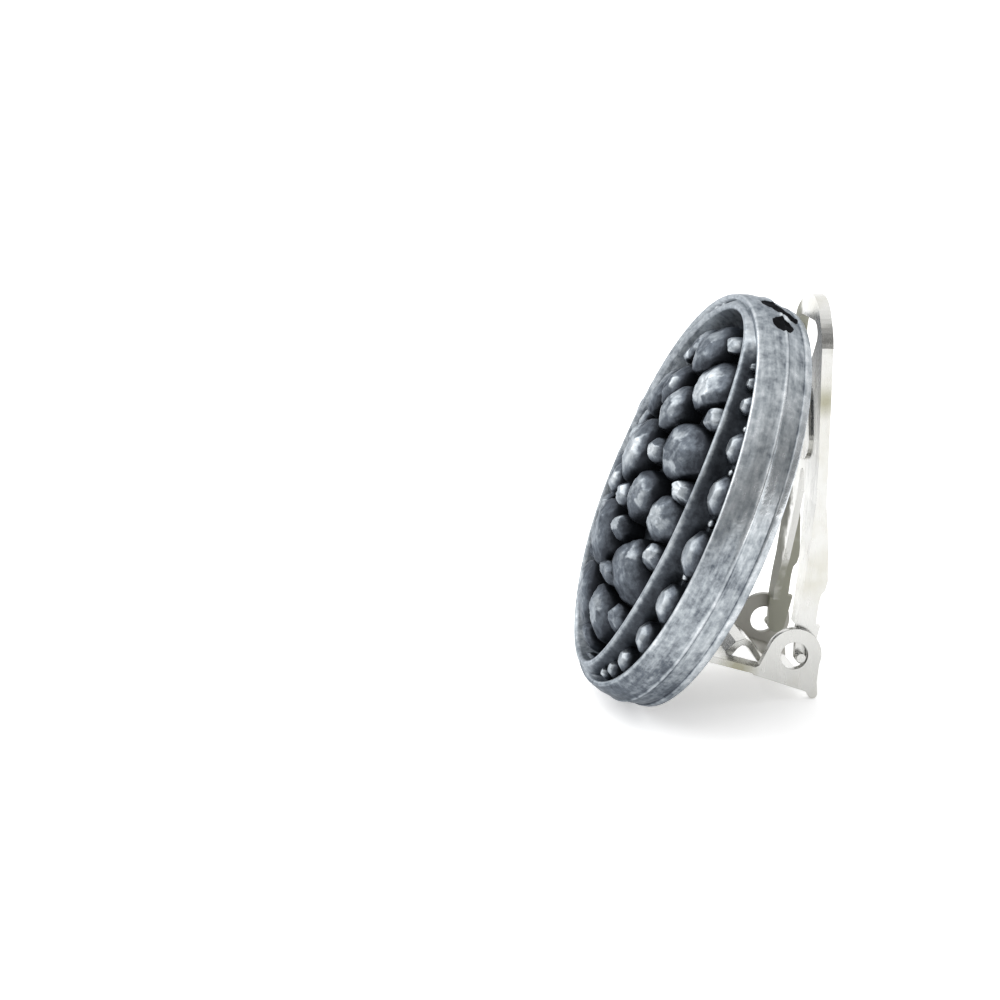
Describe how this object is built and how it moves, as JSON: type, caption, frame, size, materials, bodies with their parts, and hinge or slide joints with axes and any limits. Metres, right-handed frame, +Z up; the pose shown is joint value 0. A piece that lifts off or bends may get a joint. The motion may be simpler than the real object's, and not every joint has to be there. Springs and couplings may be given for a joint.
{
  "type": "clip on earring",
  "caption": "Round clip-on earring: a moulded disc with nuggets in an oval ridge and crescents of mock stones, on a hinged spring clip.",
  "frame": {"origin": "on the surface that the earring stands on, under the centre of its bounding box", "axes": "+Z up; -Y is the way the decorated face looks, leaning back 25 degrees; +X runs across the face, along the clip's hinge"},
  "size_m": [0.0244, 0.0147, 0.0228],
  "materials": {
    "gunmetal_plastic": "metallic gunmetal, rubbed silvery on the raised tops",
    "nickel_plate": "bright nickel plate"
  },
  "bodies": {
    "earring": {"moulded_disc": "gunmetal_plastic", "clip_base": "nickel_plate"},
    "lever": {"clip_lever": "nickel_plate"}
  },
  "joints": [
    {"name": "lever_hinge", "type": "hinge", "parent": "earring", "child": "lever", "pos_m": [0, 0.00471, 0.0025], "axis": [-1, 0, 0], "range_deg": [0, 80], "stiffness_Nm_per_rad": 0.0002, "springref_deg": -28.65}
  ]
}
